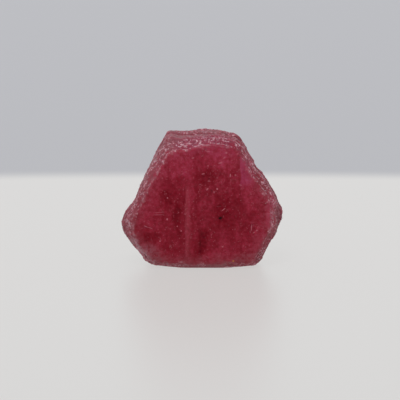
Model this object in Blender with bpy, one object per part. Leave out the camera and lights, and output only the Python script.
"""A raw ruby crystal: one worn, tabular corundum crystal, standing on a flat prism face.

The crystal is a thick plate. Its two broad faces are the basal faces, front (-Y) and back (+Y). Its edge is
closed by prism faces, three of them nearer the middle than the three between, which gives the outline of a
triangle with cut corners. A bevel lies between each prism face and each broad face. The form is a block cut by
those planes. Its surface is then divided finely, gets its worn edges, ledges, growth steps, hollows, pits and
frosted grain, and is thinned to the faces that those need.

All sizes are in metres. +Z is up, and the origin is the middle of the base, on the surface it stands on.
"""

import math
from collections import namedtuple

import bmesh
import bpy
from mathutils import Vector, noise

MM = 0.001

# The plate.
THICKNESS = 4.85 * MM  # between the two broad faces, without the growth hill on the back one
BEVEL_ANGLE = math.radians(57.6)  # between a rhombohedral bevel and the broad face, in corundum


def side(degrees, *millimetres):
    """One side face of the plate, from its direction and its sizes in millimetres."""
    return Side(degrees, *(value * MM for value in millimetres))


# Each side face: its direction in degrees from +X towards +Z, its distance from the plate's middle, and the
# width that its bevel takes from the front and from the back broad face.
Side = namedtuple("Side", "degrees distance front_bevel back_bevel")
SIDES = {
    "right tip": side(0.0, 6.13, 1.10, 0.55),
    "upper right": side(31.4, 4.97, 0.50, 0.85),
    "top right corner": side(57.0, 5.60, 0.48, 0.55),
    "top right slope": side(84.5, 5.29, 0.50, 0.45),
    "top": side(90.0, 5.19, 0.45, 0.38),
    "top left slope": side(99.1, 5.50, 0.95, 0.45),
    "top left corner": side(122.0, 5.67, 0.90, 0.50),
    "left shoulder": side(148.7, 4.83, 0.54, 0.70),
    "upper left": side(154.6, 4.72, 0.48, 0.80),
    "left tip": side(180.0, 5.87, 0.75, 0.60),
    "lower left": side(215.0, 5.90, 0.60, 0.42),
    "base left corner": side(243.0, 5.62, 0.52, 0.45),
    "base left": side(265.4, 4.775, 0.50, 0.36),
    "base": side(270.0, 4.65, 0.44, 0.34),
    "base right": side(274.2, 4.79, 0.50, 0.36),
    "base right corner": side(303.0, 6.00, 0.50, 0.50),
    "lower right": side(332.4, 5.89, 0.70, 0.44),
}
MIDDLE_HEIGHT = SIDES["base"].distance  # of the plate's middle above the surface that the crystal stands on

# How finely the form is divided before its surface is shaped, and how many triangles stay.
DIVISION = 0.09 * MM
WEAR_PASSES = 8  # how many times the divided form is smoothed, which wears its edges round
TRIANGLES = 9400

# Ledges on the side faces, parallel to the broad faces: how far behind the plate's middle each one starts, how
# far the side stands out beyond it, and the direction in degrees where it is widest. It fades out on both
# sides of that direction, and its line wanders a little.
Ledge = namedtuple("Ledge", "start rise widest")
LEDGE_RISER = 0.10 * MM
LEDGE_WANDER = 0.10 * MM
LEDGE_FADE = (0.4, 0.8)  # its share at a right angle to its widest direction, and what the cosine adds
LEDGES = (
    Ledge(-1.25 * MM, 0.10 * MM, 120.0),
    Ledge(-0.65 * MM, -0.15 * MM, 35.0),
    Ledge(-0.20 * MM, -0.13 * MM, 205.0),
    Ledge(0.45 * MM, 0.17 * MM, 75.0),
    Ledge(1.05 * MM, -0.13 * MM, 325.0),
    Ledge(1.50 * MM, -0.12 * MM, 160.0),
)

# Low humps and hollows of the outline: place from the plate's middle (x, z), reach, and height outwards.
Hump = namedtuple("Hump", "x z reach height")
HUMPS = (
    Hump(-5.85 * MM, -0.70 * MM, 0.80 * MM, 0.19 * MM),  # the knob at the left tip
    Hump(-5.10 * MM, 0.35 * MM, 0.65 * MM, -0.10 * MM),  # the hollow above the knob
    Hump(-5.35 * MM, -2.60 * MM, 0.70 * MM, 0.10 * MM),
    Hump(-1.10 * MM, 5.20 * MM, 0.95 * MM, -0.08 * MM),  # the dip in the top edge
    Hump(0.45 * MM, 5.20 * MM, 1.00 * MM, 0.07 * MM),  # the hump beside it
    Hump(4.10 * MM, 2.70 * MM, 0.45 * MM, -0.08 * MM),  # a chip in the upper right edge
    Hump(5.20 * MM, 1.40 * MM, 1.05 * MM, 0.13 * MM),  # the full edge above the right tip
)

# Growth steps on the front face: each runs up and down it at x, between two heights from the plate's middle.
# The face rises over the riser's width, and sinks back to its level further right. The line wanders a little.
Step = namedtuple("Step", "x low high rise riser")
FRONT_STEPS = (
    Step(-2.45 * MM, -3.6 * MM, 1.2 * MM, -0.050 * MM, 0.35 * MM),
    Step(-1.25 * MM, -4.0 * MM, 1.6 * MM, 0.075 * MM, 0.14 * MM),
    Step(-0.35 * MM, -4.0 * MM, -0.2 * MM, -0.055 * MM, 0.30 * MM),
    Step(0.60 * MM, -3.4 * MM, 3.6 * MM, 0.045 * MM, 0.25 * MM),
    Step(2.85 * MM, -0.4 * MM, 3.8 * MM, -0.065 * MM, 0.12 * MM),
)
STEP_FADE = 0.9 * MM
STEP_RUN = 2.2 * MM
STEP_WANDER = 0.12 * MM
WANDER_PER_MM = 0.8  # how fast the lines of steps and ledges wander

# Oval pits: x and z from the plate's middle, half width, half height, depth.
Pit = namedtuple("Pit", "x z half_width half_height depth")
FRONT_PITS = (
    Pit(3.75 * MM, -1.60 * MM, 0.24 * MM, 0.42 * MM, 0.10 * MM),
    Pit(-4.05 * MM, -1.50 * MM, 0.40 * MM, 0.16 * MM, 0.05 * MM),
    Pit(1.38 * MM, -0.80 * MM, 0.17 * MM, 0.17 * MM, 0.07 * MM),
    Pit(-2.75 * MM, 0.70 * MM, 0.30 * MM, 0.55 * MM, 0.05 * MM),
    Pit(0.30 * MM, 2.30 * MM, 0.60 * MM, 0.34 * MM, 0.05 * MM),
)
BACK_PITS = (
    Pit(-3.10 * MM, 1.30 * MM, 0.42 * MM, 0.50 * MM, 0.13 * MM),
    Pit(2.60 * MM, 2.60 * MM, 0.36 * MM, 0.48 * MM, 0.11 * MM),
    Pit(-1.90 * MM, -3.20 * MM, 0.62 * MM, 0.30 * MM, 0.10 * MM),
)
PIT_FLOOR = 0.7  # the share of a pit's half width where its floor is level
PIT_RIM = 1.3  # and where it reaches the face

# The back face carries a low three-sided growth hill: its middle (x, z), its sides' directions, and the
# distance from the middle and the drop of each step.
HILL_MIDDLE = Vector((0.45 * MM, 0.0, -0.35 * MM))
HILL_SIDES = (28.0, 151.0, 271.0)
HILL_STEPS = (
    (0.70 * MM, 0.06 * MM),
    (1.35 * MM, 0.08 * MM),
    (2.10 * MM, 0.09 * MM),
    (2.85 * MM, 0.07 * MM),
)
HILL_RISER = 0.14 * MM

# Surface grain: the size of its lumps, how far they stand out, and a number that sets where they fall.
Grain = namedtuple("Grain", "size height seed")
EDGE_LUMPS = Grain(1.30 * MM, 0.12 * MM, 5.0)
EDGE_GRAIN = Grain(0.50 * MM, 0.075 * MM, 11.0)
FACE_WAVES = Grain(2.40 * MM, 0.05 * MM, 3.0)
FACE_GRAIN = Grain(0.55 * MM, 0.018 * MM, 17.0)
FROST_WIDTH = 0.45 * MM  # the edge's grain fades out this far into the broad faces
FOOT_FADE = 0.25 * MM  # above the base, nothing is moved until here
FOOT_WEAR = 0.02 * MM  # what lies this near the base becomes part of its flat


def direction(degrees):
    """The outward direction of a side face, in the plane of the plate."""
    angle = math.radians(degrees)
    return Vector((math.cos(angle), 0.0, math.sin(angle)))


def cut(form, point, normal):
    """Takes away what lies outside a plane, and closes the form there with one flat face."""
    everything = form.verts[:] + form.edges[:] + form.faces[:]
    made = bmesh.ops.bisect_plane(form, geom=everything, plane_co=point, plane_no=normal, clear_outer=True)
    rim = [item for item in made["geom_cut"] if isinstance(item, bmesh.types.BMEdge)]
    if rim:
        bmesh.ops.edgeloop_fill(form, edges=rim)


def plain_form():
    """The crystal's plain form: a block cut by its side faces and by their bevels."""
    form = bmesh.new()
    bmesh.ops.create_cube(form, size=1.0)
    bmesh.ops.scale(form, vec=(20 * MM, THICKNESS, 20 * MM), verts=form.verts)
    for face in SIDES.values():
        out = direction(face.degrees)
        cut(form, out * face.distance, out)
        for facing, width in ((-1.0, face.front_bevel), (1.0, face.back_bevel)):
            towards = Vector((0.0, facing, 0.0))
            edge_point = out * (face.distance - width) + towards * THICKNESS / 2
            cut(form, edge_point, out * math.sin(BEVEL_ANGLE) + towards * math.cos(BEVEL_ANGLE))
    return form


def with_modifier(crystal, kind, **settings):
    """Gives the object one modifier and makes its result the object's mesh."""
    modifier = crystal.modifiers.new(kind.title(), kind)
    for name, value in settings.items():
        setattr(modifier, name, value)
    view = bpy.context.evaluated_depsgraph_get()
    crystal.data = bpy.data.meshes.new_from_object(crystal.evaluated_get(view))
    crystal.modifiers.clear()


def smooth(value):
    """0 below 0, 1 above 1, and a soft S between."""
    value = min(1.0, max(0.0, value))
    return value * value * (3.0 - 2.0 * value)


def lumps(point, grain):
    """A random height with round humps and sharper hollows between them."""
    place = point / grain.size + Vector((grain.seed, 2.0 * grain.seed, -grain.seed))
    return grain.height * (0.5 * noise.noise(place) + abs(noise.noise(place * 1.7)) - 0.25)


def inside_broad_face(point):
    """How far a point lies inside the edge of the broad face on its side of the plate."""
    reach = []
    for face in SIDES.values():
        width = face.front_bevel if point.y < 0 else face.back_bevel
        reach.append(face.distance - width - point.dot(direction(face.degrees)))
    return min(reach)


def pit_depth(x, z, pits):
    """How deep a point lies in oval pits, which have a flat floor."""
    deepest = 0.0
    for pit in pits:
        away = math.hypot((x - pit.x) / pit.half_width, (z - pit.z) / pit.half_height)
        deepest = max(deepest, pit.depth * smooth((PIT_RIM - away) / (PIT_RIM - PIT_FLOOR)))
    return deepest


def front_relief(point):
    """Height of the front face's growth steps, less its pits."""
    height = -pit_depth(point.x, point.z, FRONT_PITS)
    for step in FRONT_STEPS:
        wander = STEP_WANDER * noise.noise(Vector((step.x, 0.0, point.z)) / MM * WANDER_PER_MM)
        share = smooth((point.z - step.low) / STEP_FADE) * smooth((step.high - point.z) / STEP_FADE)
        right_of = (point.x - step.x - wander) / step.riser
        level_again = smooth((point.x - step.x) / STEP_RUN)
        height += step.rise * share * smooth(right_of) * (1.0 - level_again)
    return height


def back_relief(point):
    """Height of the back face's growth hill, less its pits."""
    off = point - HILL_MIDDLE
    wander = STEP_WANDER * noise.noise(point / MM * WANDER_PER_MM)
    distance = max(off.dot(direction(degrees)) for degrees in HILL_SIDES) + wander
    height = sum(fall * smooth((start - distance) / HILL_RISER) for start, fall in HILL_STEPS)
    return height - pit_depth(point.x, point.z, BACK_PITS)


def side_relief(point):
    """How far the ledges, humps and hollows move a side face outwards."""
    around = math.atan2(point.z, point.x)
    moved = 0.0
    for ledge in LEDGES:
        share = smooth(LEDGE_FADE[0] + LEDGE_FADE[1] * math.cos(around - math.radians(ledge.widest)))
        wander = LEDGE_WANDER * noise.noise(Vector((point.x, ledge.start, point.z)) / MM * WANDER_PER_MM)
        moved += ledge.rise * share * smooth((point.y - ledge.start - wander) / LEDGE_RISER)
    for hump in HUMPS:
        away = math.hypot(point.x - hump.x, point.z - hump.z)
        moved += hump.height * smooth(1.2 - away / hump.reach)
    return moved


def shape_surface(crystal):
    """Moves each point of the finely divided form to where the stepped and frosted surface lies."""
    normals = [vert.normal.copy() for vert in crystal.data.vertices]
    for vert, normal in zip(crystal.data.vertices, normals):
        point = vert.co.copy()
        calm = smooth(inside_broad_face(point) / FROST_WIDTH)
        outwards = Vector((point.x, 0.0, point.z)).normalized()
        relief = front_relief(point) if point.y < 0 else back_relief(point)
        face_height = relief + lumps(point, FACE_WAVES) + lumps(point, FACE_GRAIN)
        edge_height = lumps(point, EDGE_LUMPS) + lumps(point, EDGE_GRAIN)
        above_base = smooth((point.z + MIDDLE_HEIGHT) / FOOT_FADE)
        vert.co += outwards * side_relief(point) * (1.0 - calm) * above_base
        vert.co += normal * (face_height * calm + edge_height * (1.0 - calm)) * above_base


def level_base(crystal):
    """Makes the base one flat face, moves it to height 0, and puts the crystal's middle over the origin."""
    points = [vert.co for vert in crystal.data.vertices]
    middle_x = (min(p.x for p in points) + max(p.x for p in points)) / 2
    middle_y = (min(p.y for p in points) + max(p.y for p in points)) / 2
    for point in points:
        point.x -= middle_x
        point.y -= middle_y
        point.z += MIDDLE_HEIGHT
        if point.z < FOOT_WEAR:
            point.z = 0.0


def frosted_ruby():
    """Pinkish red, dull-glossed mineral."""
    material = bpy.data.materials.new("frosted_ruby")
    material.use_nodes = True
    shader = material.node_tree.nodes["Principled BSDF"]
    shader.inputs["Base Color"].default_value = (0.19, 0.014, 0.026, 1.0)
    shader.inputs["Roughness"].default_value = 0.45
    shader.inputs["Metallic"].default_value = 0.0
    shader.inputs["IOR"].default_value = 1.77
    return material


def main():
    for old in list(bpy.data.objects):
        bpy.data.objects.remove(old)
    mesh = bpy.data.meshes.new("ruby_crystal")
    form = plain_form()
    form.to_mesh(mesh)
    form.free()
    crystal = bpy.data.objects.new("ruby_crystal", mesh)
    bpy.context.scene.collection.objects.link(crystal)
    with_modifier(crystal, "REMESH", mode="VOXEL", voxel_size=DIVISION)
    with_modifier(crystal, "SMOOTH", factor=0.5, iterations=WEAR_PASSES)
    shape_surface(crystal)
    triangles = 2 * len(crystal.data.polygons)
    with_modifier(crystal, "DECIMATE", ratio=TRIANGLES / triangles, use_collapse_triangulate=True)
    level_base(crystal)
    crystal.data.name = "ruby_crystal"
    crystal.data.materials.clear()
    crystal.data.materials.append(frosted_ruby())


main()
